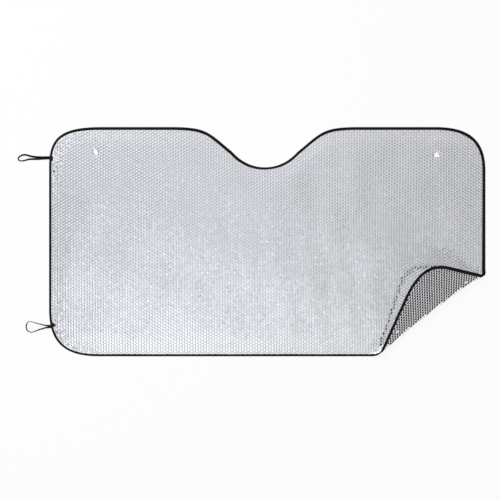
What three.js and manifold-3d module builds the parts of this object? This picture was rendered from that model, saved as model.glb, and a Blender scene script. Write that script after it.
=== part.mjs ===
// A windscreen sunshade of silver bubble foil: one laminated sheet with a notch for the mirror, a black tape
// sewn round its edge, two punched holes for suction cups and two elastic loops at its left end.
// It lies on its back with its bottom right corner folded over, so that the back of the foil shows.
// Millimetres, +Z up, +X to the right along the length, +Y towards the edge with the mirror notch.
import * as THREE from 'three';
import { mergeVertices } from 'three/addons/utils/BufferGeometryUtils.js';
import Module from 'manifold-3d';

const wasm = await Module();
wasm.setup();

// The sheet, over its edge tape
const sheetLength = 1300;
const sheetDepth = 683;

// The foil: columns of bubbles run along Y, close packed, so that a column is a ridge on both faces
const foilThickness = 3.5;
const bubblePitch = 9.3;
const columnPitch = (bubblePitch * Math.sqrt(3)) / 2;
const frontGroove = 0.7;
const backGroove = 1.1;
const pressedThickness = 1.2;

// The tape, folded round the pressed rim of the foil
const tapeWidth = 7;
const tapeThickness = 1;
const clearance = 0.3;

// The corners of the seam, which runs along the middle of the tape: how far each curve reaches along the two
// edges that it joins, and how full it is, where 0.55 is round and 1 is square
const corners = {
  bottomRight: { acrossX: 122, acrossY: 94, fullness: 0.69 },
  topRight: { acrossX: 144, acrossY: 127, fullness: 0.69 },
  topLeft: { acrossX: 156, acrossY: 114, fullness: 0.77 },
  bottomLeft: { acrossX: 144, acrossY: 135, fullness: 0.7 },
};

// The mirror notch, and its right half as two cubic curves on a unit width and depth, from shoulder to bottom
const notchCentre = -7;
const notchHalfWidth = 280;
const notchDepth = 120;
const notchShoulderCurve = [[1, 0], [0.62, 0], [0.61, 0.12], [0.36, 0.6]];
const notchBottomCurve = [[0.36, 0.6], [0.34, 0.64], [0.22, 1], [0, 1]];

// The holes for the suction cups, from the nearer end and from the top edge, each with a slit for the cup's neck
const holeRadius = 7;
const holeRingWidth = 4;
const holes = [
  { fromEnd: 139, fromTop: 74, side: -1, slitLength: 12.5, slitWidth: 5, slitAngle: -90 },
  { fromEnd: 147, fromTop: 83, side: 1, slitLength: 9.5, slitWidth: 2.5, slitAngle: -135 },
];

// The folded corner: where the fold leaves the bottom and the right edge, its radius and how far it turns, and
// how far it bows into the sheet two thirds of the way to the right edge, which eases off towards the tape
const foldFromRight = 346;
const foldFromBottom = 259;
const foldRadius = 13;
const foldTurn = THREE.MathUtils.degToRad(149.7);
const foldFacets = 5;
const foldBow = 8.3;
const foldBowEase = 10;

// The elastic loops. A route gives, for each point, the distance out from the edge, the distance along the edge
// and how far it has climbed from the surface it lies on to the top of the sheet. A patch has its height along
// the edge, its reach into the sheet and the width of its inner end, and both are shifted along the edge.
const elasticRadius = 2.25;
const elasticSides = 8;
const elasticSteps = 46;
const surfaceGap = 0.1;
const strandOffset = 2.4;
const patchSetback = 2.5;
const patchThickness = 4.6;
const patchBevel = 0.5;
const loops = [
  {
    name: 'upper',
    fromTop: 92.5,
    patch: { height: 15, shift: -0.7, reach: 8, tip: 7, tipShift: 3.5 },
    route: [
      [-2.2, strandOffset, 1], [1, strandOffset, 1], [6.5, 2.4, 0.8], [13, 2.4, 0.4], [20, 2.45, 0.07],
      [27, 2.6, 0], [36, 2.9, 0], [45, 3.7, 0], [53, 5, 0], [60, 6.6, 0], [67.5, 8.8, 0], [75, 9.5, 0],
      [82, 8.2, 0], [88.5, 4.4, 0], [92.7, -1.2, 0], [90.4, -6.6, 0], [84, -8.5, 0], [77, -7.8, 0],
      [70, -6, 0], [62.5, -3.8, 0], [54, -3, 0], [45, -2.9, 0], [36, -2.8, 0], [27, -2.65, 0],
      [20, -2.5, 0.07], [13, -2.4, 0.4], [6.5, -2.4, 0.8], [1, -strandOffset, 1], [-2.2, -strandOffset, 1],
    ],
  },
  {
    name: 'lower',
    fromTop: 593.8,
    patch: { height: 18, shift: 4.5, reach: 13, tip: 3, tipShift: -1 },
    route: [
      [-2.2, strandOffset, 1], [1, strandOffset, 1], [7, 2.45, 0.8], [13.5, 2.8, 0.4], [20, 3.6, 0.07], [27, 5.5, 0],
      [34, 7.2, 0], [41, 9, 0], [48, 11.2, 0], [54.5, 13.4, 0], [61.5, 14.7, 0], [67.2, 12.6, 0],
      [71.3, 7.2, 0], [72.6, -0.6, 0], [71.4, -8.6, 0], [67, -14.2, 0], [60.5, -16.8, 0], [53, -16.6, 0],
      [45, -13.8, 0], [37, -10.7, 0], [29.5, -8.2, 0], [21.5, -5.9, 0.07], [14, -3.9, 0.4], [7, -2.6, 0.8],
      [1, -strandOffset, 1], [-2.2, -strandOffset, 1],
    ],
  },
];

// How finely curves are cut into straight stretches
const curveSteps = 11;
const holeSides = 24;

// Sizes that follow
const bindingThickness = pressedThickness + 2 * (clearance + tapeThickness);
const midHeight = Math.max(foilThickness, bindingThickness) / 2;
const topHeight = 2 * midHeight;
const seamRight = (sheetLength - tapeWidth) / 2;
const seamTop = (sheetDepth - tapeWidth) / 2;

const foilMaterial = new THREE.MeshStandardMaterial({ color: 0xd0d3dc, roughness: 0.35, metalness: 0.9 });
const tapeMaterial = new THREE.MeshStandardMaterial({ color: 0x18181a, roughness: 0.85, metalness: 0 });
const elasticMaterial = new THREE.MeshStandardMaterial({ color: 0x101012, roughness: 0.8, metalness: 0 });
const patchMaterial = new THREE.MeshStandardMaterial({ color: 0x242426, roughness: 0.9, metalness: 0 });

// Solids

function toSolid(geometry) {
  geometry.deleteAttribute('normal');
  geometry.deleteAttribute('uv');
  const merged = mergeVertices(geometry);
  return new wasm.Manifold(new wasm.Mesh({
    numProp: 3,
    vertProperties: Float32Array.from(merged.attributes.position.array),
    triVerts: Uint32Array.from(merged.index.array),
  }));
}

function toFaces(solid) {
  const { vertProperties, triVerts, numProp } = solid.getMesh();
  const points = [];
  for (let i = 0; i < vertProperties.length; i += numProp) {
    points.push(new THREE.Vector3(vertProperties[i], vertProperties[i + 1], vertProperties[i + 2]));
  }
  const faces = [];
  for (let i = 0; i < triVerts.length; i += 3) {
    faces.push([triVerts[i], triVerts[i + 1], triVerts[i + 2]]);
  }
  return { points, faces };
}

function toGeometry({ points, faces }) {
  const geometry = new THREE.BufferGeometry().setFromPoints(points);
  geometry.setIndex(faces.flat());
  geometry.computeVertexNormals();
  return geometry;
}

function prism(outline, bottom, top) {
  const geometry = new THREE.ExtrudeGeometry(new THREE.Shape(outline), { depth: top - bottom, bevelEnabled: false });
  geometry.translate(0, 0, bottom);
  return toSolid(geometry);
}

function disc(radius, x, y) {
  const geometry = new THREE.CylinderGeometry(radius, radius, 4 * topHeight, holeSides);
  geometry.rotateX(Math.PI / 2);
  geometry.translate(x, y, midHeight);
  return toSolid(geometry);
}

// The seam, and the edges beside it

function seamLine() {
  const { bottomRight, topRight, topLeft, bottomLeft } = corners;
  const notchX = (share) => notchCentre + share * notchHalfWidth;
  const notchY = (share) => seamTop - share * notchDepth;
  const path = new THREE.Path();

  const alongXThenY = (corner, x, y) => {
    const towardsX = Math.sign(x);
    const towardsY = Math.sign(y);
    const startX = x - towardsX * corner.acrossX;
    const endY = y - towardsY * corner.acrossY;
    path.lineTo(startX, y);
    path.bezierCurveTo(
      startX + towardsX * corner.acrossX * corner.fullness, y,
      x, endY + towardsY * corner.acrossY * corner.fullness,
      x, endY,
    );
  };
  const alongYThenX = (corner, x, y) => {
    const towardsX = Math.sign(x);
    const towardsY = Math.sign(y);
    const startY = y - towardsY * corner.acrossY;
    const endX = x - towardsX * corner.acrossX;
    path.lineTo(x, startY);
    path.bezierCurveTo(
      x, startY + towardsY * corner.acrossY * corner.fullness,
      endX + towardsX * corner.acrossX * corner.fullness, y,
      endX, y,
    );
  };
  const notchCurve = (side, [, second, third, last]) => {
    path.bezierCurveTo(
      notchX(side * second[0]), notchY(second[1]),
      notchX(side * third[0]), notchY(third[1]),
      notchX(side * last[0]), notchY(last[1]),
    );
  };

  path.moveTo(-seamRight + bottomLeft.acrossX, -seamTop);
  alongXThenY(bottomRight, seamRight, -seamTop);
  alongYThenX(topRight, seamRight, seamTop);
  path.lineTo(notchX(1), seamTop);
  notchCurve(1, notchShoulderCurve);
  notchCurve(1, notchBottomCurve);
  notchCurve(-1, [...notchBottomCurve].reverse());
  notchCurve(-1, [...notchShoulderCurve].reverse());
  alongXThenY(topLeft, -seamRight, seamTop);
  alongYThenX(bottomLeft, -seamRight, -seamTop);

  const points = path.getPoints(curveSteps);
  if (points[0].distanceTo(points[points.length - 1]) < clearance) {
    points.pop();
  }
  return points;
}

// Moves a closed line, which runs counterclockwise, sideways: inwards where the distance is positive
function besideLine(line, distance) {
  const leftOf = (from, to) => new THREE.Vector2(from.y - to.y, to.x - from.x).normalize();
  return line.map((point, i) => {
    const before = line[(i + line.length - 1) % line.length];
    const after = line[(i + 1) % line.length];
    const first = leftOf(before, point);
    const second = leftOf(point, after);
    const mitre = first.clone().add(second).divideScalar(1 + first.dot(second));
    return point.clone().addScaledVector(mitre, distance);
  });
}

const seam = seamLine();
const outerEdge = besideLine(seam, -tapeWidth / 2);

// Where the outer edge lies at a height on the left end
function leftEdgeAt(y) {
  for (let i = 0; i < outerEdge.length; i += 1) {
    const from = outerEdge[i];
    const to = outerEdge[(i + 1) % outerEdge.length];
    if (from.x < 0 && from.y >= y && to.y < y) {
      return from.x + ((from.y - y) / (from.y - to.y)) * (to.x - from.x);
    }
  }
  throw new Error('no left edge at this height');
}

// The folded corner. A point's distance past the start of the fold is turned into an arc and then a flat flap

const foldAcross = new THREE.Vector2(foldFromBottom, -foldFromRight).normalize();
const foldStart = foldAcross.x * (seamRight - foldFromRight) - foldAcross.y * seamTop;
const foldRun = foldRadius * foldTurn;
const foldLength = Math.hypot(foldFromRight, foldFromBottom);

function pastFold(point) {
  return foldAcross.x * point.x + foldAcross.y * point.y - foldStart;
}

const outerEdgeLines = outerEdge.map((from, i) => {
  const to = outerEdge[(i + 1) % outerEdge.length];
  return new THREE.Line3(new THREE.Vector3(from.x, from.y, 0), new THREE.Vector3(to.x, to.y, 0));
});

// How far a point lies inside the outer edge
function depthAt(point) {
  const flat = new THREE.Vector3(point.x, point.y, 0);
  const nearest = new THREE.Vector3();
  return Math.min(...outerEdgeLines.map((line) => (
    line.closestPointToPoint(flat, true, nearest).distanceTo(flat)
  )));
}

// How far the bow of the fold moves a point back across the fold: most two thirds of the way along it, and
// nothing at the tape
function bowAt(point) {
  const alongX = -foldAcross.y * (point.x - (seamRight - foldFromRight));
  const alongY = foldAcross.x * (point.y + seamTop);
  const share = THREE.MathUtils.clamp((alongX + alongY) / foldLength, 0, 1);
  const past = pastFold(point);
  const away = Math.max(-past, past - foldRun, 0);
  const inside = Math.max(depthAt(point) - tapeWidth - 2 * clearance, 0);
  const alongFold = 6.75 * share ** 2 * (1 - share);
  const acrossFold = inside / (inside + away + foldBowEase);
  return foldBow * alongFold * acrossFold;
}

// Where a point at this height above the middle of the foil lands at one of the fold's facet edges
function atFacetEdge(index, aboveMiddle) {
  const angle = (foldTurn * index) / foldFacets;
  const radius = foldRadius - aboveMiddle;
  return {
    across: radius * Math.sin(angle),
    height: midHeight + foldRadius - radius * Math.cos(angle),
  };
}

function folded(point) {
  const past = pastFold(point);
  const bow = bowAt(point);
  if (past <= 0) {
    return new THREE.Vector3(point.x - bow * foldAcross.x, point.y - bow * foldAcross.y, point.z);
  }
  const aboveMiddle = point.z - midHeight;
  const facet = (past / foldRun) * foldFacets;
  let across;
  let height;
  if (facet >= foldFacets) {
    const end = atFacetEdge(foldFacets, aboveMiddle);
    across = end.across + (past - foldRun) * Math.cos(foldTurn);
    height = end.height + (past - foldRun) * Math.sin(foldTurn);
  } else {
    const from = atFacetEdge(Math.floor(facet), aboveMiddle);
    const to = atFacetEdge(Math.floor(facet) + 1, aboveMiddle);
    const share = facet - Math.floor(facet);
    across = from.across + share * (to.across - from.across);
    height = from.height + share * (to.height - from.height);
  }
  return new THREE.Vector3(
    point.x + (across - past - bow) * foldAcross.x,
    point.y + (across - past - bow) * foldAcross.y,
    height,
  );
}

// Joins triangles that lie in one plane into convex faces of four corners, longest shared edges first, so that
// the fold splits fewer faces
function inPairs({ points, faces }) {
  const nearlyFlat = 1e-6;
  const normalOf = (a, b, c) => {
    const first = points[b].clone().sub(points[a]);
    const second = points[c].clone().sub(points[a]);
    return first.cross(second);
  };
  const owner = new Map();
  faces.forEach((face, index) => {
    face.forEach((corner, i) => owner.set(`${corner} ${face[(i + 1) % 3]}`, index));
  });
  const shared = [];
  faces.forEach((face, index) => {
    face.forEach((from, i) => {
      const to = face[(i + 1) % 3];
      const other = owner.get(`${to} ${from}`);
      if (from < to && other !== undefined) {
        const far = face[(i + 2) % 3];
        const near = faces[other].find((corner) => corner !== from && corner !== to);
        shared.push({ index, other, quad: [from, near, to, far], length: points[from].distanceTo(points[to]) });
      }
    });
  });
  shared.sort((one, two) => two.length - one.length);
  const joined = new Set();
  const quads = [];
  for (const { index, other, quad } of shared) {
    if (joined.has(index) || joined.has(other)) {
      continue;
    }
    const turns = quad.map((corner, i) => normalOf(quad[(i + 3) % 4], corner, quad[(i + 1) % 4]));
    const up = turns[0].clone().add(turns[2]).normalize();
    const flat = turns.every((turn) => turn.dot(up) > nearlyFlat && turn.angleTo(up) < nearlyFlat * 100);
    if (flat) {
      quads.push(quad);
      joined.add(index).add(other);
    }
  }
  return { points, faces: [...quads, ...faces.filter((_, index) => !joined.has(index))] };
}

// Splits the faces, which are convex, along one facet edge of the fold, so that the foil can bend there
function splitAt(mesh, distance) {
  const onEdge = 0.002;
  const points = [...mesh.points];
  const side = points.map((point) => {
    const past = pastFold(point) - distance;
    return Math.abs(past) < onEdge ? 0 : past;
  });
  const cuts = new Map();
  const cutBetween = (a, b) => {
    const from = Math.min(a, b);
    const to = Math.max(a, b);
    const key = `${from} ${to}`;
    if (!cuts.has(key)) {
      const share = side[from] / (side[from] - side[to]);
      points.push(points[from].clone().lerp(points[to], share));
      cuts.set(key, points.length - 1);
    }
    return cuts.get(key);
  };
  const faces = [];
  for (const face of mesh.faces) {
    const before = [];
    const after = [];
    face.forEach((corner, i) => {
      const next = face[(i + 1) % face.length];
      if (side[corner] <= 0) {
        before.push(corner);
      }
      if (side[corner] >= 0) {
        after.push(corner);
      }
      if (side[corner] * side[next] < 0) {
        const cut = cutBetween(corner, next);
        before.push(cut);
        after.push(cut);
      }
    });
    if (!face.some((corner) => side[corner] > 0)) {
      faces.push(face);
    } else if (!face.some((corner) => side[corner] < 0)) {
      faces.push(face);
    } else {
      faces.push(before, after);
    }
  }
  return { points, faces };
}

function withFold(flat) {
  let mesh = flat;
  for (let facet = 0; facet <= foldFacets; facet += 1) {
    mesh = splitAt(mesh, (foldRun * facet) / foldFacets);
  }
  const faces = [];
  for (const face of mesh.faces) {
    for (let i = 2; i < face.length; i += 1) {
      faces.push([face[0], face[i - 1], face[i]]);
    }
  }
  return { points: mesh.points.map(folded), faces };
}

// The foil: a slab with a ridge for each column of bubbles, trimmed to the inner side of the tape, joined to a
// thinner sheet that runs on under the tape as the pressed rim

function ridgedSlab() {
  const columns = Math.ceil(sheetLength / columnPitch / 2);
  const halfFoil = foilThickness / 2;
  const front = [];
  const back = [];
  for (let column = -columns; column <= columns; column += 1) {
    const x = column * columnPitch;
    front.push([x, halfFoil]);
    back.push([x, -halfFoil]);
    if (column < columns) {
      front.push([x + columnPitch / 2, halfFoil - frontGroove]);
      back.push([x + columnPitch / 2, backGroove - halfFoil]);
    }
  }
  const profile = [...back, ...front.reverse()].map(([x, z]) => new THREE.Vector2(x, z));
  const geometry = new THREE.ExtrudeGeometry(new THREE.Shape(profile), { depth: sheetDepth, bevelEnabled: false });
  geometry.rotateX(Math.PI / 2);
  geometry.translate(0, sheetDepth / 2, midHeight);
  return toSolid(geometry);
}

function holeCentre(hole) {
  return new THREE.Vector2(hole.side * (sheetLength / 2 - hole.fromEnd), sheetDepth / 2 - hole.fromTop);
}

function holeSolid(hole) {
  const { x, y } = holeCentre(hole);
  const slit = new THREE.BoxGeometry(hole.slitLength, hole.slitWidth, 4 * topHeight);
  slit.translate(hole.slitLength / 2, 0, 0);
  slit.rotateZ(THREE.MathUtils.degToRad(hole.slitAngle));
  slit.translate(x, y, midHeight);
  return disc(holeRadius, x, y).add(toSolid(slit));
}

function bubbleFoil() {
  const fieldEdge = besideLine(outerEdge, tapeWidth + clearance);
  const rimEdge = besideLine(outerEdge, tapeThickness + clearance);
  const halfPressed = pressedThickness / 2;
  let field = ridgedSlab().intersect(prism(fieldEdge, -topHeight, 2 * topHeight));
  for (const hole of holes) {
    const { x, y } = holeCentre(hole);
    field = field.subtract(disc(holeRadius + holeRingWidth, x, y));
  }
  let foil = field.add(prism(rimEdge, midHeight - halfPressed, midHeight + halfPressed));
  for (const hole of holes) {
    foil = foil.subtract(holeSolid(hole));
  }
  return toGeometry(withFold(inPairs(toFaces(foil))));
}

// The tape: a folded strip round the rim, swept along the whole edge

function edgeBinding() {
  const inside = pressedThickness / 2 + clearance;
  const outside = inside + tapeThickness;
  const section = [
    [0, -inside], [tapeThickness, -outside], [tapeWidth, -outside], [tapeWidth, -inside],
    [tapeThickness, -inside], [tapeThickness, inside], [tapeWidth, inside], [tapeWidth, outside],
    [tapeThickness, outside], [0, inside],
  ];
  const lines = section.map(([inwards]) => besideLine(outerEdge, inwards));
  const points = [];
  outerEdge.forEach((_, i) => {
    section.forEach(([, z], corner) => {
      const { x, y } = lines[corner][i];
      points.push(new THREE.Vector3(x, y, midHeight + z));
    });
  });
  const faces = [];
  for (let i = 0; i < outerEdge.length; i += 1) {
    const here = i * section.length;
    const next = ((i + 1) % outerEdge.length) * section.length;
    for (let corner = 0; corner < section.length; corner += 1) {
      const beside = (corner + 1) % section.length;
      faces.push([here + corner, here + beside, next + beside]);
      faces.push([here + corner, next + beside, next + corner]);
    }
  }
  return toGeometry(withFold({ points, faces }));
}

// The elastic loops: a cord whose two ends meet a sewn patch on the front of the sheet

function loopRoot(loop) {
  const y = sheetDepth / 2 - loop.fromTop;
  return new THREE.Vector2(leftEdgeAt(y), y);
}

const patchBase = topHeight + clearance;

function elasticLoop(loop) {
  const root = loopRoot(loop);
  const lying = elasticRadius + surfaceGap;
  const climbed = patchBase + elasticRadius;
  const route = new THREE.CatmullRomCurve3(loop.route.map(([out, along, climb]) => new THREE.Vector3(
    root.x - out,
    root.y + along,
    lying + climb * (climbed - lying),
  )));
  const section = new THREE.Shape();
  for (let side = 0; side < elasticSides; side += 1) {
    const angle = (2 * Math.PI * side) / elasticSides;
    const x = elasticRadius * Math.cos(angle);
    const y = elasticRadius * Math.sin(angle);
    if (side === 0) {
      section.moveTo(x, y);
    } else {
      section.lineTo(x, y);
    }
  }
  return new THREE.ExtrudeGeometry(section, { steps: elasticSteps, extrudePath: route, bevelEnabled: false });
}

function loopPatch(loop) {
  const root = loopRoot(loop);
  const { height, shift, reach, tip, tipShift } = loop.patch;
  const half = height / 2 - patchBevel;
  const tipHalf = tip / 2 - patchBevel;
  const far = reach - patchBevel;
  const outline = new THREE.Shape();
  outline.moveTo(patchBevel, -half);
  outline.quadraticCurveTo(reach / 2, -half, far, tipShift - tipHalf);
  outline.lineTo(far, tipShift + tipHalf);
  outline.quadraticCurveTo(reach / 2, half, patchBevel, half);
  outline.closePath();
  const geometry = new THREE.ExtrudeGeometry(outline, {
    depth: patchThickness - 2 * patchBevel,
    bevelEnabled: true,
    bevelThickness: patchBevel,
    bevelSize: patchBevel,
    bevelSegments: 1,
    curveSegments: 5,
  });
  geometry.translate(root.x + patchSetback, root.y + shift, patchBase + patchBevel);
  return geometry;
}

// The whole sunshade

function named(name, geometry, material) {
  const mesh = new THREE.Mesh(geometry, material);
  mesh.name = name;
  return mesh;
}

const sunshade = new THREE.Group();
sunshade.add(named('bubble_foil', bubbleFoil(), foilMaterial));
sunshade.add(named('edge_binding', edgeBinding(), tapeMaterial));
for (const loop of loops) {
  sunshade.add(named(`elastic_loop_${loop.name}`, elasticLoop(loop), elasticMaterial));
  sunshade.add(named(`loop_patch_${loop.name}`, loopPatch(loop), patchMaterial));
}

export default sunshade;
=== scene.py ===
"""A windscreen sunshade of silver bubble foil, laid flat with one corner folded over, seen from above."""

import math

import bpy
import numpy as np
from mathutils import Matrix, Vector


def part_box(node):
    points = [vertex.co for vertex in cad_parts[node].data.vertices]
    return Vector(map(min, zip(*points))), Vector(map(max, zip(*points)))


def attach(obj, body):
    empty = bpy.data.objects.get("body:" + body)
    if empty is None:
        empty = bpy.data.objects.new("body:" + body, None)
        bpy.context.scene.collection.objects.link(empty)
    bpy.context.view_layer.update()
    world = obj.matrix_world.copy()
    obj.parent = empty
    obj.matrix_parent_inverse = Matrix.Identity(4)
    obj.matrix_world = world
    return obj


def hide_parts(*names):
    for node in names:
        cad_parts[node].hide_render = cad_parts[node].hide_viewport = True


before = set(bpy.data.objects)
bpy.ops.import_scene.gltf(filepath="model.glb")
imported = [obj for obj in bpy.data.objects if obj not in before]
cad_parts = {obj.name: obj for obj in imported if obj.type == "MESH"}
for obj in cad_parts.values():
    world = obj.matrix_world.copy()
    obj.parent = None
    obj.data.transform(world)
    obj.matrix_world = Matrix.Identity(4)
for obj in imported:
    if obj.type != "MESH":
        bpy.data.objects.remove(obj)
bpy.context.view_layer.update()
body = "root"
rng = np.random.default_rng(7)

# Sizes in metres, as in the solids. The sheet's own box comes from the binding's part in model.glb.
MM = 0.001
tape_low, tape_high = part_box("edge_binding")
SHEET_LENGTH = tape_high.x - tape_low.x
SHEET_DEPTH = tape_high.y - tape_low.y

FOIL_THICKNESS = 3.5 * MM
BUBBLE_PITCH = 9.3 * MM
COLUMN_PITCH = BUBBLE_PITCH * math.sqrt(3) / 2
FRONT_RELIEF = 0.7 * MM
BACK_RELIEF = 1.1 * MM
PRESSED_HALF = 0.6 * MM

TAPE_WIDTH = 7 * MM
TAPE_THICKNESS = 1 * MM
CLEARANCE = 0.3 * MM
TAPE_INSIDE = PRESSED_HALF + CLEARANCE
TAPE_OUTSIDE = TAPE_INSIDE + TAPE_THICKNESS
MID_HEIGHT = TAPE_OUTSIDE

# Corners of the seam line: reach along X, reach along Y and fullness
BOTTOM_RIGHT = (122 * MM, 94 * MM, 0.69)
TOP_RIGHT = (144 * MM, 127 * MM, 0.69)
TOP_LEFT = (156 * MM, 114 * MM, 0.77)
BOTTOM_LEFT = (144 * MM, 135 * MM, 0.7)

NOTCH_CENTRE = -7 * MM
NOTCH_HALF_WIDTH = 280 * MM
NOTCH_DEPTH = 120 * MM
NOTCH_SHOULDER = [(1, 0), (0.62, 0), (0.61, 0.12), (0.36, 0.6)]
NOTCH_BOTTOM = [(0.36, 0.6), (0.34, 0.64), (0.22, 1), (0, 1)]

# Points on each curve of the seam line, and the distance between the even points that are made from them
CORNER_STEPS = 48
NOTCH_STEPS = 32
SEAM_SPACING = 5 * MM

HOLE_RADIUS = 7 * MM
# Each hole: centre, then its slit's length, width and angle in degrees
HOLES = {
    "left": ((139 * MM - SHEET_LENGTH / 2, SHEET_DEPTH / 2 - 74 * MM), 12.5 * MM, 5 * MM, -90),
    "right": ((SHEET_LENGTH / 2 - 147 * MM, SHEET_DEPTH / 2 - 83 * MM), 9.5 * MM, 2.5 * MM, -135),
}

FOLD_FROM_RIGHT = 346 * MM
FOLD_FROM_BOTTOM = 259 * MM
FOLD_RADIUS = 13 * MM
FOLD_TURN = math.radians(149.7)
FOLD_BOW = 8.3 * MM
FOLD_BOW_EASE = 10 * MM

# The loops are told as round cords of this radius, as in the solids. What is drawn is flat, ribbed elastic.
ELASTIC_RADIUS = 2.25 * MM
ELASTIC_WIDTH = 6.4 * MM
ELASTIC_THICKNESS = 1.8 * MM
ELASTIC_SIDES = 14
RIB_SPACING = 0.7 * MM
RIB_DEPTH = 0.08
ROUTE_STEPS = 24
SURFACE_GAP = 0.1 * MM
# How far each end of a loop lies from its middle line, in millimetres
STRAND = 2.4
PATCH_SETBACK = 2.5 * MM
PATCH_BASE = 2 * MID_HEIGHT + CLEARANCE
# Each loop: the distance of its root from the top edge, its real length, and how far the flat elastic is
# turned on its edge from its ends to halfway, in degrees. The patch has a height, a shift, a reach, a tip and
# the shift of the tip. The route runs out from the edge and along it, both in millimetres, and tells how far
# it has climbed from the surface to the top of the sheet.
LOOPS = {
    "upper": {
        "from_top": 92.5 * MM,
        "length": 0.2,
        "turns": [38, 35, 0, 18, 36, 70],
        "patch": (18, -2, 8.5, 10, 0),
        "route": [
            (-2.2, STRAND, 1), (1, STRAND, 1), (6.5, 2.4, 0.8), (13, 2.4, 0.4), (20, 2.45, 0.07),
            (27, 2.6, 0), (36, 2.9, 0), (45, 3.7, 0), (53, 5, 0), (60, 6.6, 0), (67.5, 8.8, 0), (75, 9.5, 0),
            (82, 8.2, 0), (88.5, 4.4, 0), (92.7, -1.2, 0), (90.4, -6.6, 0), (84, -8.5, 0), (77, -7.8, 0),
            (70, -6, 0), (62.5, -3.8, 0), (54, -3, 0), (45, -2.9, 0), (36, -2.8, 0), (27, -2.65, 0),
            (20, -2.5, 0.07), (13, -2.4, 0.4), (6.5, -2.4, 0.8), (1, -STRAND, 1), (-2.2, -STRAND, 1),
        ],
    },
    "lower": {
        "from_top": 593.8 * MM,
        "length": 0.174,
        "turns": [20, 44, 55, 66, 82, 74],
        "patch": (18, 4.5, 13, 3, -1),
        "route": [
            (-2.2, STRAND, 1), (1, STRAND, 1), (7, 2.45, 0.8), (13.5, 2.8, 0.4), (20, 3.6, 0.07),
            (27, 5.5, 0), (34, 7.2, 0), (41, 9, 0), (48, 11.2, 0), (54.5, 13.4, 0), (61.5, 14.7, 0),
            (67.2, 12.6, 0), (71.3, 7.2, 0), (72.6, -0.6, 0), (71.4, -8.6, 0), (67, -14.2, 0),
            (60.5, -16.8, 0), (53, -16.6, 0), (45, -13.8, 0), (37, -10.7, 0), (29.5, -8.2, 0),
            (21.5, -5.9, 0.07), (14, -3.9, 0.4), (7, -2.6, 0.8), (1, -STRAND, 1), (-2.2, -STRAND, 1),
        ],
    },
}

# The camera looks straight down. The photograph's frame is this wide on the surface that the sheet lies on.
CAMERA_HEIGHT = 2.2
FRAME_WIDTH = 1.491
FRAME_CENTRE = (-0.0514, -0.0248)
SENSOR = 36


def smooth(x):
    """0 below 0, 1 above 1, with an even rise between."""
    t = np.clip(x, 0, 1)
    return t * t * (3 - 2 * t)


def run_along(line):
    """How far along the line each of its points lies."""
    return np.concatenate([[0], np.cumsum(np.linalg.norm(np.diff(line, axis=0), axis=1))])


def evenly(line, spacing):
    """The same line, as evenly spaced points from its first to its last."""
    run = run_along(line)
    at = np.linspace(0, run[-1], round(run[-1] / spacing) + 1)
    return np.stack([np.interp(at, run, values) for values in line.T], 1)


# The seam line and what lies beside it, in the flat sheet


def bezier(points, steps):
    a, b, c, d = (np.array(p, float) for p in points)
    t = (np.arange(steps) / steps)[:, None]
    return (1 - t) ** 3 * a + 3 * (1 - t) ** 2 * t * b + 3 * (1 - t) * t**2 * c + t**3 * d


def corner_curve(x, y, corner, starts_along_x):
    reach_x, reach_y, full = corner
    side_x, side_y = math.copysign(1, x), math.copysign(1, y)
    along_x = [(x - side_x * reach_x, y), (x - side_x * reach_x * (1 - full), y)]
    along_y = [(x, y - side_y * reach_y * (1 - full)), (x, y - side_y * reach_y)]
    points = along_x + along_y
    return bezier(points if starts_along_x else points[::-1], CORNER_STEPS)


def notch_curves(side, curve, top):
    points = [(NOTCH_CENTRE + side * x * NOTCH_HALF_WIDTH, top - y * NOTCH_DEPTH) for x, y in curve]
    return bezier(points if side > 0 else points[::-1], NOTCH_STEPS)


def seam_line(spacing):
    """The middle of the tape, counterclockwise, as evenly spaced points."""
    right = (SHEET_LENGTH - TAPE_WIDTH) / 2
    top = (SHEET_DEPTH - TAPE_WIDTH) / 2
    parts = [
        corner_curve(right, -top, BOTTOM_RIGHT, True),
        corner_curve(right, top, TOP_RIGHT, False),
        notch_curves(1, NOTCH_SHOULDER, top),
        notch_curves(1, NOTCH_BOTTOM, top),
        notch_curves(-1, NOTCH_BOTTOM, top),
        notch_curves(-1, NOTCH_SHOULDER, top),
        corner_curve(-right, top, TOP_LEFT, True),
        corner_curve(-right, -top, BOTTOM_LEFT, False),
    ]
    ends = [(right, -top + BOTTOM_RIGHT[1]), (right - TOP_RIGHT[0], top)]
    line = np.vstack(
        [parts[0], ends[:1], parts[1], ends[1:], *parts[2:6]]
        + [[(NOTCH_CENTRE - NOTCH_HALF_WIDTH, top)], parts[6]]
        + [[(-right, top - TOP_LEFT[1])], parts[7], [(-right + BOTTOM_LEFT[0], -top)]]
    )
    return evenly(np.vstack([line, line[:1]]), spacing)[:-1]


def inward(line):
    """The unit vector to the left of each point of a counterclockwise line, which points into the sheet."""
    along = np.roll(line, -1, 0) - np.roll(line, 1, 0)
    along /= np.linalg.norm(along, axis=1)[:, None]
    return np.stack([-along[:, 1], along[:, 0]], 1)


seam = seam_line(SEAM_SPACING)
seam_inward = inward(seam)
outer_edge = seam - seam_inward * TAPE_WIDTH / 2
# How many points are measured against the edge at a time, which keeps the arrays small
CHUNK = 4000


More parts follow.
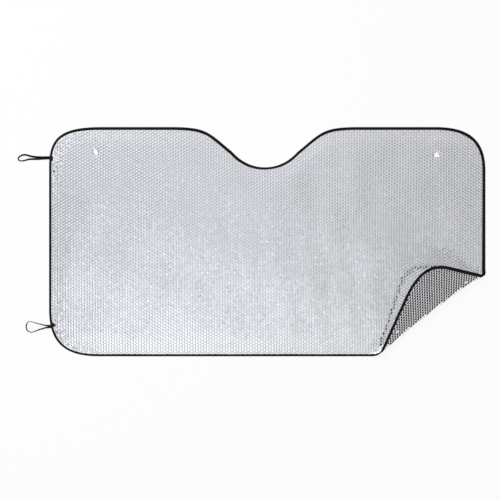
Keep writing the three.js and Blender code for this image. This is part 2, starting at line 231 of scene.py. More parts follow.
def from_edge(points):
    """How far each flat point lies inside the outer edge, and the direction to go further in."""
    start = outer_edge
    step = np.roll(outer_edge, -1, 0) - start
    length2 = (step**2).sum(1)
    depth = np.empty(len(points))
    towards = np.empty((len(points), 2))
    for i in range(0, len(points), CHUNK):
        chunk = points[i : i + CHUNK]
        away = chunk[:, None] - start
        share = np.clip((away * step).sum(2) / length2, 0, 1)
        gap = away - share[..., None] * step
        nearest = (gap**2).sum(2).argmin(1)
        rows = np.arange(len(chunk))
        inside = np.stack([-step[nearest, 1], step[nearest, 0]], 1)
        inside /= np.linalg.norm(inside, axis=1)[:, None]
        depth[i : i + CHUNK] = (gap[rows, nearest] * inside).sum(1)
        towards[i : i + CHUNK] = inside
    return depth, towards


# The folded corner


FOLD_LENGTH = math.hypot(FOLD_FROM_BOTTOM, FOLD_FROM_RIGHT)
FOLD_ACROSS = np.array([FOLD_FROM_BOTTOM, -FOLD_FROM_RIGHT]) / FOLD_LENGTH
FOLD_ALONG = np.array([FOLD_FROM_RIGHT, FOLD_FROM_BOTTOM]) / FOLD_LENGTH
FOLD_START = np.array([(SHEET_LENGTH - TAPE_WIDTH) / 2 - FOLD_FROM_RIGHT, (TAPE_WIDTH - SHEET_DEPTH) / 2])


def past_fold(flat):
    return (flat - FOLD_START) @ FOLD_ACROSS


def fold_bow(flat, past):
    """How far the bow of the fold moves points back: most two thirds along it, and nothing at the tape."""
    share = np.clip((flat - FOLD_START) @ FOLD_ALONG / FOLD_LENGTH, 0, 1)
    along_fold = 6.75 * share**2 * (1 - share)
    moved = along_fold > 0
    inside = np.maximum(from_edge(flat[moved])[0] - TAPE_WIDTH - 2 * CLEARANCE, 0)
    away = np.maximum(np.maximum(-past, past - FOLD_RADIUS * FOLD_TURN), 0)[moved]
    bow = np.zeros(len(flat))
    bow[moved] = FOLD_BOW * along_fold[moved] * inside / (inside + away + FOLD_BOW_EASE)
    return bow


def folded(flat, above):
    """Flat points, at these heights above the middle of the foil, where the fold takes them."""
    past = past_fold(flat)
    turn = np.clip(past / FOLD_RADIUS, 0, FOLD_TURN)
    rest = np.maximum(past - FOLD_RADIUS * FOLD_TURN, 0)
    radius = FOLD_RADIUS - above
    moved = radius * np.sin(turn) + rest * math.cos(FOLD_TURN)
    height = FOLD_RADIUS - radius * np.cos(turn) + rest * math.sin(FOLD_TURN)
    bent = past > 0
    shift = np.where(bent, moved - past, 0) - fold_bow(flat, past)
    z = MID_HEIGHT + np.where(bent, height, above)
    return np.column_stack([flat + shift[:, None] * FOLD_ACROSS, z])


# Pieces


def band_faces(rings, sides, closed, inside_out=False, first=0):
    """Faces between rings of points in a row. A closed band joins its last ring to its first."""
    faces = []
    for ring in range(rings if closed else rings - 1):
        here = first + ring * sides
        there = first + (ring + 1) % rings * sides
        for side in range(sides):
            after = (side + 1) % sides
            a, b, c, d = here + side, here + after, there + after, there + side
            faces.append((a, b, c, d) if inside_out else (a, d, c, b))
    return faces


def add_piece(name, points, faces, material):
    """A smooth mesh that rides on the body."""
    mesh = bpy.data.meshes.new(name)
    mesh.from_pydata(np.asarray(points, float).tolist(), [], faces)
    mesh.polygons.foreach_set("use_smooth", [True] * len(mesh.polygons))
    mesh.materials.append(material)
    mesh.update()
    piece = bpy.data.objects.new(name, mesh)
    bpy.context.scene.collection.objects.link(piece)
    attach(piece, body)
    return piece


# Materials

# Noise seldom leaves this range
NOISE_RANGE = (0.3, 0.7)
CRINKLE_DEPTH = 0.25 * MM
CLOTH_ROUGHNESS = 0.85
CLOTH_SHINE = 0.2
WEAVE_DEPTH = 0.15 * MM
WEAVE_STRENGTH = 0.7


def new_material(name):
    material = bpy.data.materials.new(name)
    material.use_nodes = True
    nodes = material.node_tree.nodes
    return material, nodes, material.node_tree.links, nodes["Principled BSDF"]


def noise(nodes, links, coordinates, scale, detail):
    node = nodes.new("ShaderNodeTexNoise")
    node.inputs["Scale"].default_value = scale
    node.inputs["Detail"].default_value = detail
    links.new(coordinates, node.inputs["Vector"])
    return node.outputs["Fac"]


def spread(nodes, links, value, low, high):
    """A 0 to 1 value drawn out to run from low to high."""
    node = nodes.new("ShaderNodeMapRange")
    node.inputs["From Min"].default_value, node.inputs["From Max"].default_value = NOISE_RANGE
    node.inputs["To Min"].default_value = low
    node.inputs["To Max"].default_value = high
    links.new(value, node.inputs["Value"])
    return node.outputs["Result"]


def blend_colours(nodes, links, share, low, high):
    node = nodes.new("ShaderNodeMix")
    node.data_type = "RGBA"
    node.inputs["A"].default_value = (*low, 1)
    node.inputs["B"].default_value = (*high, 1)
    links.new(share, node.inputs["Factor"])
    return node.outputs["Result"]


def bump(nodes, links, height, distance, strength):
    node = nodes.new("ShaderNodeBump")
    node.inputs["Distance"].default_value = distance
    node.inputs["Strength"].default_value = strength
    links.new(height, node.inputs["Height"])
    return node.outputs["Normal"]


def combine(nodes, links, operation, first, second):
    """A math node on two values, each a socket or a number."""
    node = nodes.new("ShaderNodeMath")
    node.operation = operation
    for value, socket in zip((first, second), node.inputs):
        if isinstance(value, (int, float)):
            socket.default_value = value
        else:
            links.new(value, socket)
    return node.outputs[0]


def mix_shaders(nodes, links, share, low, high):
    node = nodes.new("ShaderNodeMixShader")
    links.new(share, node.inputs["Fac"])
    links.new(low, node.inputs[1])
    links.new(high, node.inputs[2])
    return node.outputs[0]


def foil_material(name, low, high, rough_low, rough_high, crinkling):
    material, nodes, links, shader = new_material(name)
    place = nodes.new("ShaderNodeTexCoord").outputs["Object"]
    shader.inputs["Metallic"].default_value = 1
    patches = noise(nodes, links, place, scale=9, detail=3)
    links.new(blend_colours(nodes, links, patches, low, high), shader.inputs["Base Color"])
    scuffs = noise(nodes, links, place, scale=160, detail=3)
    links.new(spread(nodes, links, scuffs, rough_low, rough_high), shader.inputs["Roughness"])
    crinkles = noise(nodes, links, place, scale=420, detail=2)
    links.new(bump(nodes, links, crinkles, CRINKLE_DEPTH, crinkling), shader.inputs["Normal"])
    return material


def cloth_material(name, low, high, ribs_per_metre):
    material, nodes, links, shader = new_material(name)
    place = nodes.new("ShaderNodeTexCoord").outputs["Object"]
    wear = noise(nodes, links, place, scale=60, detail=4)
    links.new(blend_colours(nodes, links, wear, low, high), shader.inputs["Base Color"])
    shader.inputs["Roughness"].default_value = CLOTH_ROUGHNESS
    shader.inputs["Specular IOR Level"].default_value = CLOTH_SHINE
    weave = nodes.new("ShaderNodeTexVoronoi")
    weave.inputs["Scale"].default_value = ribs_per_metre
    links.new(place, weave.inputs["Vector"])
    threads = bump(nodes, links, weave.outputs["Distance"], WEAVE_DEPTH, WEAVE_STRENGTH)
    links.new(threads, shader.inputs["Normal"])
    return material


FRONT_FILM = foil_material(
    "front_film",
    low=(0.81, 0.815, 0.825),
    high=(0.865, 0.87, 0.88),
    rough_low=0.08,
    rough_high=0.15,
    crinkling=0.25,
)
BACK_FILM = foil_material(
    "back_film",
    low=(0.85, 0.85, 0.855),
    high=(0.91, 0.91, 0.915),
    rough_low=0.05,
    rough_high=0.1,
    crinkling=0.15,
)
TAPE_CLOTH = cloth_material("tape_cloth", (0.0035, 0.0035, 0.004), (0.007, 0.007, 0.008), 1400)
THREAD = cloth_material("thread", (0.010, 0.010, 0.011), (0.018, 0.018, 0.02), 2500)
ELASTIC = cloth_material("elastic", (0.004, 0.004, 0.0045), (0.009, 0.009, 0.010), 1800)
PATCH_CLOTH = cloth_material("patch_cloth", (0.008, 0.008, 0.009), (0.022, 0.022, 0.024), 1500)


# The camera and the elastic loops


def make_camera():
    data = bpy.data.cameras.new("camera")
    data.sensor_width = SENSOR
    data.lens = SENSOR * CAMERA_HEIGHT / FRAME_WIDTH
    camera = bpy.data.objects.new("camera", data)
    camera.location = (*FRAME_CENTRE, CAMERA_HEIGHT)
    bpy.context.scene.collection.objects.link(camera)
    bpy.context.scene.camera = camera


def loop_root(from_top):
    """Where the outer edge passes on the left at this distance from the top edge."""
    y = SHEET_DEPTH / 2 - from_top
    left = outer_edge[outer_edge[:, 0] < -SHEET_LENGTH / 4]
    order = left[np.argsort(left[:, 1])]
    return np.array([np.interp(y, order[:, 1], order[:, 0]), y])


def smooth_route(points, spacing):
    """A centripetal Catmull-Rom curve through the points, as evenly spaced points."""
    p = np.vstack([2 * points[:1] - points[1:2], points, 2 * points[-1:] - points[-2:-1]])
    knots = np.concatenate([[0], np.cumsum(np.linalg.norm(np.diff(p, axis=0), axis=1) ** 0.5)])
    curve = []
    for i in range(1, len(p) - 2):
        t0, t1, t2, t3 = knots[i - 1 : i + 3]
        t = np.linspace(t1, t2, ROUTE_STEPS, endpoint=False)[:, None]
        a1 = (t1 - t) / (t1 - t0) * p[i - 1] + (t - t0) / (t1 - t0) * p[i]
        a2 = (t2 - t) / (t2 - t1) * p[i] + (t - t1) / (t2 - t1) * p[i + 1]
        a3 = (t3 - t) / (t3 - t2) * p[i + 1] + (t - t2) / (t3 - t2) * p[i + 2]
        b1 = (t2 - t) / (t2 - t0) * a1 + (t - t0) / (t2 - t0) * a2
        b2 = (t3 - t) / (t3 - t1) * a2 + (t - t1) / (t3 - t1) * a3
        curve.append((t2 - t) / (t2 - t1) * b1 + (t - t1) / (t2 - t1) * b2)
    return evenly(np.vstack([*curve, points[-1:]]), spacing)


def flat_elastic(route, turn):
    """Points and faces of a ribbed flat elastic along the route, turned by these angles from lying flat."""
    along = np.gradient(route, axis=0)
    along /= np.linalg.norm(along, axis=1)[:, None]
    aside = np.cross(along, (0, 0, 1))
    aside /= np.linalg.norm(aside, axis=1)[:, None]
    over = np.cross(aside, along)
    wide = np.cos(turn)[:, None] * aside + np.sin(turn)[:, None] * over
    thin = np.cos(turn)[:, None] * over - np.sin(turn)[:, None] * aside
    angle = 2 * np.pi * np.arange(ELASTIC_SIDES) / ELASTIC_SIDES
    ribs = 1 - RIB_DEPTH * (np.arange(len(route)) % 2)
    points = (
        route[:, None]
        + (ribs[:, None] * ELASTIC_WIDTH / 2 * np.cos(angle))[..., None] * wide[:, None]
        + (ribs[:, None] * ELASTIC_THICKNESS / 2 * np.sin(angle))[..., None] * thin[:, None]
    )
    faces = band_faces(len(route), ELASTIC_SIDES, closed=False)
    faces.append(tuple(range(ELASTIC_SIDES)))
    last_ring = (len(route) - 1) * ELASTIC_SIDES
    faces.append(tuple(reversed(range(last_ring, last_ring + ELASTIC_SIDES))))
    return points.reshape(-1, 3), faces


def make_loop(name, from_top, turns, route):
    root = loop_root(from_top)
    lying = ELASTIC_RADIUS + SURFACE_GAP
    climbed = PATCH_BASE + ELASTIC_RADIUS
    points = np.array(
        [
            (root[0] - out * MM, root[1] + along * MM, lying + climb * (climbed - lying))
            for out, along, climb in route
        ]
    )
    path = smooth_route(points, RIB_SPACING)
    turns = np.radians(turns + turns[-2::-1])
    turn = np.interp(np.linspace(0, 1, len(path)), np.linspace(0, 1, len(turns)), turns)
    half_height = np.hypot(ELASTIC_WIDTH / 2 * np.sin(turn), ELASTIC_THICKNESS / 2 * np.cos(turn))
    path[:, 2] += half_height - ELASTIC_RADIUS
    band, faces = flat_elastic(path, turn)
    loop = add_piece(f"elastic_cord_{name}", band, faces, ELASTIC)
    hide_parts(f"elastic_loop_{name}")


make_camera()
for loop_name, facts in LOOPS.items():
    make_loop(loop_name, facts["from_top"], facts["turns"], facts["route"])


# The foil: two films over one lattice of bubbles. Each bubble is a flat top with six sides that run down to
# a web, where the films are welded. The films are pressed flat towards the tape and round the holes.

RIM_UNDER_TAPE = 3 * MM
HOLE_FILM_EDGE = 9.8 * MM
# How far past the rim or a ring a bubble's centre may lie, as shares of its reach
PAST_RIM = 0.8
PAST_RING = 0.5
# Corners of bubbles this close are one corner
SAME_CORNER = 0.01 * MM
# The distance over which the films rise from flat to full
PRESSED_SLOPE = 4 * MM
# How far a bubble's flat top reaches, as a share of the bubble's own reach
FRONT_TOP_SHARE = 0.66
BACK_TOP_SHARE = 0.71
# How much the flat tops lean at random, and the lowest bubble, as shares of the relief
FRONT_LEAN = 0.08
BACK_LEAN = 0.11
LOWEST_BUBBLE = 0.72
# The tallest that a bubble gets, as a share of the relief. The back lies on the surface, which holds it flat.
FRONT_TALLEST = 3.5
BACK_TALLEST = 1.1
# Where the films pucker beside the tape, how far that reaches along it and in from it, and how much it tips
# the bubbles about
PUCKERS = np.array([(-600 * MM, -262 * MM), (-638 * MM, 245 * MM)])
PUCKER_REACH = 70 * MM
PUCKER_DEPTH = 22 * MM
PUCKER_LEAN = 1.1
# The sheet's slow waves: the size of each, its turn in radians per metre along X and Y, and its start
WAVES = [(1, 21, 5, 1.0), (1, 34, -16, 2.1), (0.8, 13, 29, 4.2), (0.5, 70, 11, 0)]
WAVE_HEIGHT = 0.7 * MM
WAVE_REACH = 70 * MM
# The sheet's fall towards the tape: how much, over what distance, and how near the fold it ends
FALL = 1.4 * MM
FALL_REACH = 40 * MM
FALL_FROM_FOLD = 30 * MM


def hole_distance(flat):
    """The distance from the nearer hole's centre, and that centre."""
    centres = np.array([hole[0] for hole in HOLES.values()])
    gaps = np.linalg.norm(flat[:, None] - centres, axis=2)
    nearest = gaps.argmin(1)
    return gaps[np.arange(len(flat)), nearest], centres[nearest]


def fullness(flat, depth):
    """0 where the films are pressed flat, 1 where they are blown up in full."""
    beside_tape = smooth((depth - TAPE_WIDTH) / PRESSED_SLOPE)
    beside_hole = smooth((hole_distance(flat)[0] - HOLE_FILM_EDGE) / PRESSED_SLOPE + 0.5)
    return np.minimum(beside_tape, beside_hole)


def lattice():
    """Centres of the bubbles that lie on the sheet and off the holes."""
    columns = math.ceil(SHEET_LENGTH / 2 / COLUMN_PITCH)
    rows = math.ceil(SHEET_DEPTH / 2 / BUBBLE_PITCH)
    column, row = np.meshgrid(np.arange(-columns, columns + 1), np.arange(-rows, rows + 1))
    x = column * COLUMN_PITCH
    y = (row + 0.5 * (column % 2)) * BUBBLE_PITCH
    centres = np.column_stack([x.ravel(), y.ravel()])
    depth, _ = from_edge(centres)
    away, _ = hole_distance(centres)
    corner = BUBBLE_PITCH / math.sqrt(3)
    on_sheet = depth > RIM_UNDER_TAPE - PAST_RIM * corner
    off_holes = away > HOLE_FILM_EDGE - PAST_RING * corner
    return centres[on_sheet & off_holes]


def onto_sheet(flat):
    """Moves points that lie beyond the rim or inside a hole's ring onto its line."""
    depth, towards = from_edge(flat)
    flat = flat + np.maximum(RIM_UNDER_TAPE - depth, 0)[:, None] * towards
    away, centre = hole_distance(flat)
    out = (flat - centre) / away[:, None]
    return flat + np.maximum(HOLE_FILM_EDGE - away, 0)[:, None] * out


def swell(flat, depth):
    """The sheet's slow unevenness, which only lifts it, and its fall towards the tape where it lies flat."""
    x, y = flat[:, 0], flat[:, 1]
    waves = sum(size * np.sin(turn_x * x + turn_y * y + start) for size, turn_x, turn_y, start in WAVES)
    lowest = sum(wave[0] for wave in WAVES)
    inside = depth - TAPE_WIDTH
    fall = FALL * smooth(inside / FALL_REACH) * smooth(-past_fold(flat) / FALL_FROM_FOLD)
    return fall + WAVE_HEIGHT * (waves + lowest) / 2 * smooth(inside / WAVE_REACH)


def mark_creases(mesh, first_top):
    """Sharp edges round each flat top and in the web between the bubbles; the sides stay smooth."""
    ends = np.empty(2 * len(mesh.edges), dtype=np.int32)
    mesh.edges.foreach_get("vertices", ends)
    is_top = ends.reshape(-1, 2) >= first_top
    mesh.edges.foreach_set("use_edge_sharp", is_top[:, 0] == is_top[:, 1])


def puckering(centres):
    """How much each bubble is drawn about by the tape: 1 at the most."""
    away = np.linalg.norm(centres[:, None] - PUCKERS, axis=2)
    beside = np.maximum(from_edge(centres)[0] - TAPE_WIDTH, 0) / PUCKER_DEPTH
    return np.exp(-(beside**2)) * np.exp(-((away / PUCKER_REACH) ** 2)).max(1)


def six_points(first_angle):
    """Six points round the middle of a bubble, as far out as its corners."""
    angles = np.arange(6) * np.pi / 3 + first_angle
    return np.column_stack([np.cos(angles), np.sin(angles)]) * BUBBLE_PITCH / math.sqrt(3)


def make_film(name, side, relief, top_share, leaning, tallest, material):
    centres = lattice()
    to_top = six_points(np.pi / 6) * top_share
    corners = (centres[:, None] + six_points(0)).reshape(-1, 2)
    shared, corner_index = np.unique(np.round(corners / SAME_CORNER), axis=0, return_inverse=True)
    corner_index = corner_index.reshape(-1, 6)
    tops = (centres[:, None] + to_top).reshape(-1, 2)
    flat = onto_sheet(np.vstack([shared * SAME_CORNER, tops]))
    depth, _ = from_edge(flat)
    blown = fullness(flat, depth)
    first_top = len(shared)
    web = FOIL_THICKNESS / 2 - relief
    above = PRESSED_HALF + blown * (web - PRESSED_HALF)
    height = rng.uniform(LOWEST_BUBBLE, 1.0, len(centres)).repeat(6)
    lean = (leaning + PUCKER_LEAN * puckering(centres))[:, None] * rng.normal(0, 1, (len(centres), 2))
    lean = lean.repeat(6, 0)
    tilt = (np.tile(to_top, (len(centres), 1)) / np.linalg.norm(to_top[0]) * lean).sum(1)
    above[first_top:] += relief * blown[first_top:] * np.clip(height + tilt, 0, tallest)
    points = folded(flat, side * above + swell(flat, depth))
    faces = []
    for cell, outer in enumerate(corner_index.tolist()):
        top = [first_top + 6 * cell + i for i in range(6)]
        parts = [top]
        for i in range(6):
            j = (i + 1) % 6
            parts.append([top[i], outer[i], outer[j]])
            parts.append([top[i], outer[j], top[j]])
        faces += parts if side > 0 else [part[::-1] for part in parts]
    film = add_piece(name, points, faces, material)
    mark_creases(film.data, first_top)
    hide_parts("bubble_foil")
    return film


front = make_film("foil_front", 1, FRONT_RELIEF, FRONT_TOP_SHARE, FRONT_LEAN, FRONT_TALLEST, FRONT_FILM)
back = make_film("foil_back", -1, BACK_RELIEF, BACK_TOP_SHARE, BACK_LEAN, BACK_TALLEST, BACK_FILM)


# The pressed rings round the holes, each with the slit for the cup's neck

RING_STEPS = 72
# How far a ring reaches over the film's edge, and its least width beside the slit
RING_OVERLAP = 0.8 * MM
RING_LEAST_WIDTH = 1.2 * MM
# A ring's upper side: shares of its width, and heights above the middle of the foil
RING_SECTION = [(0, 0.1 * MM), (0.1, 0.2 * MM), (0.55, 1.75 * MM), (0.7, 1.9 * MM), (1, 1.2 * MM)]


def make_hole_ring(name, centre, slit_length, slit_width, slit_angle):
    angles = 2 * np.pi * np.arange(RING_STEPS) / RING_STEPS
    turn = np.abs((angles - math.radians(slit_angle) + np.pi) % (2 * np.pi) - np.pi)
    # The last line only keeps the share from dividing by zero where the slit's length counts
    slit = np.where(
        np.sin(turn) * slit_length < slit_width / 2,
        slit_length,
        slit_width / 2 / np.maximum(np.sin(turn), 0.05),
    )
    inner = np.maximum(HOLE_RADIUS, np.where(turn < np.pi / 2, slit, 0))
    outer = np.maximum(HOLE_FILM_EDGE + RING_OVERLAP, inner + RING_LEAST_WIDTH)
    section = RING_SECTION + [(share, -above) for share, above in reversed(RING_SECTION)]
    points = []
    for share, above in section:
        radius = inner + share * (outer - inner)
        flat = np.column_stack([np.cos(angles), np.sin(angles)]) * radius[:, None] + centre
        points.append(folded(flat, above + swell(flat, from_edge(flat)[0])))
    faces = band_faces(len(section), RING_STEPS, closed=True)
    ring = add_piece(f"hole_ring_{name}", np.vstack(points), faces, FRONT_FILM)
    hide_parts("bubble_foil")
    return ring


rings = [make_hole_ring(hole_name, *hole) for hole_name, hole in HOLES.items()]


# The tape, folded round the rim and sewn through

TAPE_SPACING = 3 * MM
# The tape's front: how far each point lies in from the seam line, and how far above the middle of the foil.
# The dip in it holds the stitches.
TAPE_SECTION = [
    (TAPE_WIDTH / 2, TAPE_INSIDE),
    (TAPE_WIDTH / 2 + 0.1 * MM, TAPE_OUTSIDE - 0.3 * MM),
    (TAPE_WIDTH / 2 - 0.3 * MM, TAPE_OUTSIDE),
    (0.9 * MM, TAPE_OUTSIDE - 0.1 * MM),
    (0.3 * MM, TAPE_OUTSIDE - 0.32 * MM),
    (-0.4 * MM, TAPE_OUTSIDE - 0.06 * MM),
    (-1.6 * MM, TAPE_OUTSIDE),
    (-2.7 * MM, TAPE_OUTSIDE - 0.35 * MM),
    (-3.3 * MM, TAPE_OUTSIDE - 1.0 * MM),
]
# How much wider than its width the tape is in front and behind, and by how much its width wobbles
FRONT_LEG = 0.5 * MM
BACK_LEG = 0.8 * MM
TAPE_WOBBLE = 0.3 * MM
# The front was sewn wider along the right and along the top, by these millimetres
WIDER_TOWARDS = np.array([0.8, 1.1])
# It is wider still towards the folded corner, and narrower at the bottom of the notch and near the top left
# corner. Each place has its middle, its reach and the most that it adds or takes.
WIDER = [((SHEET_LENGTH / 2, -140 * MM), 180 * MM, 2.3 * MM)]
NARROWER = [((NOTCH_CENTRE, 225 * MM), 60 * MM, 2 * MM), ((-605 * MM, 295 * MM), 75 * MM, 0.5 * MM)]
WOBBLE_TURNS = (7, 16, 31, 53, 88, 131)


def wander(run, size, seed):
    """A slow, even wobble along a closed line."""
    phases = np.random.default_rng(seed).uniform(0, 2 * np.pi, len(WOBBLE_TURNS))
    share = run / run[-1]
    parts = [np.sin(2 * np.pi * n * share + p) / (1 + n / 60) for n, p in zip(WOBBLE_TURNS, phases)]
    return size * sum(parts) / 3


def rise_near(line, places):
    """A smooth rise of the line's points towards each of the places."""
    return sum(np.exp(-(((line - middle) / reach) ** 2).sum(1)) * most for middle, reach, most in places)


def make_binding():
    line = seam_line(TAPE_SPACING)
    into = inward(line)
    run = run_along(line)
    wide = rise_near(line, WIDER)
    front_leg = wander(run, TAPE_WOBBLE, 3) + FRONT_LEG - into @ WIDER_TOWARDS * MM
    front_leg += wide - rise_near(line, NARROWER)
    back_leg = wander(run, TAPE_WOBBLE, 5) + BACK_LEG + wide
    rim = TAPE_THICKNESS - TAPE_WIDTH / 2
    section = TAPE_SECTION + [(-TAPE_WIDTH / 2, 0)]
    section += [(offset, -above) for offset, above in reversed(TAPE_SECTION)]
    section += [(rim, -0.5 * TAPE_INSIDE), (rim, 0.5 * TAPE_INSIDE)]
    stations = []
    for offset, above in section:
        leg = front_leg if above > 0 else back_leg
        reach = offset + (leg if offset > MM else 0 * leg)
        stations.append(folded(line + into * reach[:, None], np.full(len(line), above)))
    points = np.stack(stations, 1).reshape(-1, 3)
    faces = band_faces(len(line), len(section), closed=True, inside_out=True)
    tape = add_piece("binding_tape", points, faces, TAPE_CLOTH)
    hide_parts("edge_binding")


STITCH_PITCH = 4.2 * MM
STITCH_LENGTH = 3.1 * MM
THREAD_RADIUS = 0.28 * MM
THREAD_SIDES = 6
# How far a stitch lies in from the seam line, and how deep it is sunk into the tape
STITCH_INSIDE = 0.3 * MM
STITCH_SUNK = 0.3 * MM
# A stitch's rings: shares of its length from its middle, and of its radius
STITCH_RINGS = [(-0.5, 0.3), (-0.3, 1), (0.3, 1), (0.5, 0.3)]


def make_stitches():
    """Short stretches of thread on both sides of the tape, each a six-sided spindle laid along the seam."""
    line = seam_line(STITCH_PITCH)
    into = inward(line)
    along = np.column_stack([into[:, 1], -into[:, 0]])
    points = []
    for side in (1, -1):
        for share, thick in STITCH_RINGS:
            for step in range(THREAD_SIDES):
                angle = 2 * np.pi * step / THREAD_SIDES
                aside = STITCH_INSIDE + THREAD_RADIUS * thick * math.cos(angle)
                flat = line + along * share * STITCH_LENGTH + into * aside
                above = TAPE_OUTSIDE - STITCH_SUNK + THREAD_RADIUS * thick * math.sin(angle) * side
                points.append(folded(flat, np.full(len(line), side * above)))
    cloud = np.stack(points, 1).reshape(-1, 3)
    count = len(STITCH_RINGS) * THREAD_SIDES
    faces = []
    for first in range(0, len(cloud), count):
        faces += band_faces(len(STITCH_RINGS), THREAD_SIDES, closed=False, inside_out=True, first=first)
        faces.append(tuple(reversed(range(first, first + THREAD_SIDES))))
        faces.append(tuple(range(first + count - THREAD_SIDES, first + count)))
    stitches = add_piece("binding_stitches", cloud, faces, THREAD)
    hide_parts("edge_binding")


make_binding()
make_stitches()


# The sewn patches that hold the ends of the loops

PATCH_COLUMNS = 22
PATCH_ROWS = 26
PATCH_START = 0.4 * MM
PATCH_TAPER = 1.4
# Its cloth: the thickness, how far in from the edge it has all of it, and how far the top and the bottom of
# its edge are sunk into the sheet
PATCH_THICKNESS = 1.0 * MM
PATCH_ROUNDING = 1.6 * MM
PATCH_SUNK = 0.2 * MM
PATCH_BOTTOM = 0.35 * MM
# The groove of its seam: the depth, and its distance from the edge and half its width in millimetres
GROOVE_DEPTH = 0.35 * MM
GROOVE_INSIDE = 2.4
GROOVE_HALF_WIDTH = 0.5
# The humps over the loop's two ends: the height, half the width, where they start to fall off, and over what
# distance the patch's edge holds them down, with how much of them is left at that edge
HUMP_HEIGHT = 3.7 * MM
HUMP_HALF_WIDTH = 3.2 * MM
HUMP_START = 3 * MM
HUMP_EDGE = 2.2 * MM
HUMP_AT_EDGE = 0.25


def make_patch(name, from_top, patch):
    """A cloth patch over a loop's two ends. It tapers, is raised over the ends and is sewn down all round."""
    root = loop_root(from_top)
    height, shift, reach, tip, tip_shift = (size * MM for size in patch)
    end = PATCH_SETBACK + reach
    share = np.linspace(0, 1, PATCH_COLUMNS)[:, None]
    across = np.linspace(0, 1, PATCH_ROWS)[None]
    x = PATCH_START + share * (end - PATCH_START)
    narrow = share**PATCH_TAPER
    upper = height / 2 * (1 - narrow) + (tip_shift + tip / 2) * narrow
    lower = -height / 2 * (1 - narrow) + (tip_shift - tip / 2) * narrow
    y = shift + lower + across * (upper - lower)
    from_ends = np.minimum(x - PATCH_START, end - x) + 0 * y
    inside = np.minimum(from_ends, np.minimum(y - shift - lower, upper - y + shift))
    cloth = PATCH_THICKNESS * smooth(inside / PATCH_ROUNDING)
    groove = GROOVE_DEPTH * np.exp(-((inside / MM - GROOVE_INSIDE) ** 2) / GROOVE_HALF_WIDTH**2)
    humps = np.maximum(0, 1 - ((np.abs(y) - STRAND * MM) / HUMP_HALF_WIDTH) ** 2)
    humps = humps * smooth((end - x) / (end - HUMP_START)) * smooth(inside / HUMP_EDGE + HUMP_AT_EDGE)
    top = 2 * MID_HEIGHT - PATCH_SUNK + cloth - groove + HUMP_HEIGHT * humps
    under = np.full(top.shape, 2 * MID_HEIGHT - PATCH_BOTTOM)
    x, y = root[0] + x + 0 * y, root[1] + y
    cloud = np.vstack([np.column_stack([x.ravel(), y.ravel(), z.ravel()]) for z in (top, under)])
    faces = []
    first_under = PATCH_COLUMNS * PATCH_ROWS
    for i in range(PATCH_COLUMNS - 1):
        for j in range(PATCH_ROWS - 1):
            a = i * PATCH_ROWS + j
            b = a + PATCH_ROWS
            faces.append((a, b, b + 1, a + 1))
            faces.append(tuple(first_under + corner for corner in (a, a + 1, b + 1, b)))
    last = (PATCH_COLUMNS - 1) * PATCH_ROWS
    rim = list(range(0, last, PATCH_ROWS)) + list(range(last, last + PATCH_ROWS))
    rim += list(range(last - 1, 0, -PATCH_ROWS)) + list(range(PATCH_ROWS - 2, 0, -1))
    for a, b in zip(rim, rim[1:] + rim[:1]):
        faces.append((b, a, first_under + a, first_under + b))
    piece = add_piece(f"sewn_patch_{name}", cloud, faces, PATCH_CLOTH)
    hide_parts(f"loop_patch_{name}")


for loop_name, facts in LOOPS.items():
    make_patch(loop_name, facts["from_top"], facts["patch"])


# The floor, the sky and the lamp

FLOOR_HALF = 6
# How much of the floor's own white the camera and the films see, in place of the light that falls on it
FLOOR_GLOW = 0.86


def make_floor():
    mesh = bpy.data.meshes.new("floor")
    corners = [(-1, -1), (1, -1), (1, 1), (-1, 1)]
    points = [(x * FLOOR_HALF, y * FLOOR_HALF, -SURFACE_GAP) for x, y in corners]
    mesh.from_pydata(points, [], [(0, 1, 2, 3)])
    floor = bpy.data.objects.new("floor", mesh)
    bpy.context.scene.collection.objects.link(floor)
    material, nodes, links, shader = new_material("floor")
    shader.inputs["Base Color"].default_value = (0.9, 0.9, 0.9, 1)
    shader.inputs["Roughness"].default_value = 0.9
    white = nodes.new("ShaderNodeEmission")
    white.inputs["Strength"].default_value = 1
    path = nodes.new("ShaderNodeLightPath")
    seen = combine(nodes, links, "MAXIMUM", path.outputs["Is Camera Ray"], path.outputs["Is Glossy Ray"])
    share = combine(nodes, links, "MULTIPLY", seen, FLOOR_GLOW)
    surface = mix_shaders(nodes, links, share, shader.outputs[0], white.outputs[0])
    links.new(surface, nodes["Material Output"].inputs["Surface"])
    mesh.materials.append(material)


# Panels of the sky: the middle's X and Y in a unit direction, how far it reaches, how wide its even middle
# is, and how much light it adds or takes
SKY_PANELS = [
    (-0.2, -0.22, 0.36, 0.0, 0.66),
    (0.05, -0.2, 0.3, 0.0, 0.3),
    (0.29, 0.09, 0.36, 0.0, -0.28),
    (-0.32, 0.05, 0.14, 0.0, -0.25),
    (-0.5, 0.4, 0.42, 0.12, 0.4),
    (-0.57, 0.74, 0.3, 0.1, 1.3),
    (0.67, -0.67, 0.36, 0.08, -0.85),
    (-1.0, 0.0, 0.42, 0.12, -0.8),
    (-0.8, -0.56, 0.22, 0.08, -0.7),
    (-0.88, 0.42, 0.17, 0.05, -0.9),
    (1.0, 0.15, 0.45, 0.1, -0.8),
    (0.4, 0.75, 0.33, 0.1, -0.35),
    (0.0, -0.75, 0.5, 0.0, 0.25),
]
# Where the sky is blue rather than grey, told the same way
BLUE_PANEL = (-0.14, 0.05, 0.5, 0.0, 1.0)
# The sky's light by height, from the horizon to straight above, and the least that panels leave of it
SKY_HEIGHTS = [(0.0, 0.35), (0.18, 0.58), (0.42, 0.68), (0.64, 0.73), (1.0, 0.75)]
SKY_LEAST = 0.03
GREY_SKY = (0.975, 0.98, 1)
BLUE_SKY = (0.83, 0.88, 1)


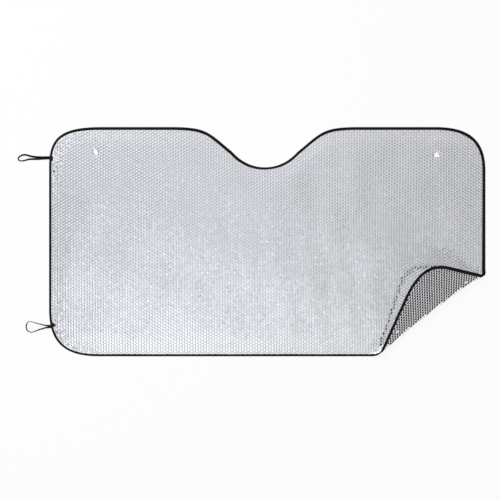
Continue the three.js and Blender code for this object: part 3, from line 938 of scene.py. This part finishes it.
def sky_panel(nodes, links, plan, x, y, far, near, amount):
    away = nodes.new("ShaderNodeVectorMath")
    away.operation = "DISTANCE"
    away.inputs[1].default_value = (x, y, 0)
    links.new(plan, away.inputs[0])
    panel = nodes.new("ShaderNodeMapRange")
    panel.interpolation_type = "SMOOTHSTEP"
    panel.inputs["From Min"].default_value = near
    panel.inputs["From Max"].default_value = far
    panel.inputs["To Min"].default_value = amount
    panel.inputs["To Max"].default_value = 0
    links.new(away.outputs["Value"], panel.inputs["Value"])
    return panel.outputs["Result"]


def make_sky():
    """A dome, darker towards the horizon, with soft panels for the films to mirror. The camera sees white."""
    world = bpy.data.worlds.new("studio")
    bpy.context.scene.world = world
    world.use_nodes = True
    nodes, links = world.node_tree.nodes, world.node_tree.links
    direction = nodes.new("ShaderNodeTexCoord").outputs["Generated"]
    parts = nodes.new("ShaderNodeSeparateXYZ")
    links.new(direction, parts.inputs[0])
    height = nodes.new("ShaderNodeValToRGB")
    ramp = height.color_ramp
    ramp.elements[0].position, ramp.elements[1].position = SKY_HEIGHTS[0][0], SKY_HEIGHTS[-1][0]
    for position, _ in SKY_HEIGHTS[1:-1]:
        ramp.elements.new(position)
    for element, (_, value) in zip(ramp.elements, SKY_HEIGHTS):
        element.color = (value, value, value, 1)
    links.new(parts.outputs["Z"], height.inputs[0])
    plan = nodes.new("ShaderNodeVectorMath")
    plan.operation = "MULTIPLY"
    plan.inputs[1].default_value = (1, 1, 0)
    links.new(direction, plan.inputs[0])
    total = height.outputs[0]
    for panel in SKY_PANELS:
        total = combine(nodes, links, "ADD", total, sky_panel(nodes, links, plan.outputs[0], *panel))
    light = nodes["Background"]
    blueness = sky_panel(nodes, links, plan.outputs[0], *BLUE_PANEL)
    links.new(blend_colours(nodes, links, blueness, GREY_SKY, BLUE_SKY), light.inputs["Color"])
    links.new(combine(nodes, links, "MAXIMUM", total, SKY_LEAST), light.inputs["Strength"])
    white = nodes.new("ShaderNodeBackground")
    white.inputs["Color"].default_value = (1, 1, 1, 1)
    white.inputs["Strength"].default_value = 1
    path = nodes.new("ShaderNodeLightPath")
    seen = mix_shaders(nodes, links, path.outputs["Is Camera Ray"], light.outputs[0], white.outputs[0])
    links.new(seen, nodes["World Output"].inputs["Surface"])


def make_lamp(name, place, size, power):
    data = bpy.data.lights.new(name, "AREA")
    data.shape = "DISK"
    data.size = size
    data.energy = power
    lamp = bpy.data.objects.new(name, data)
    lamp.location = place
    lamp.rotation_mode = "QUATERNION"
    lamp.rotation_quaternion = (-Vector(place)).to_track_quat("-Z", "Y")
    lamp.visible_glossy = False
    bpy.context.scene.collection.objects.link(lamp)


make_floor()
make_sky()
make_lamp("softbox", place=(-1.4, 0.9, 2.4), size=1.6, power=30)
bpy.context.scene.view_settings.view_transform = "Standard"
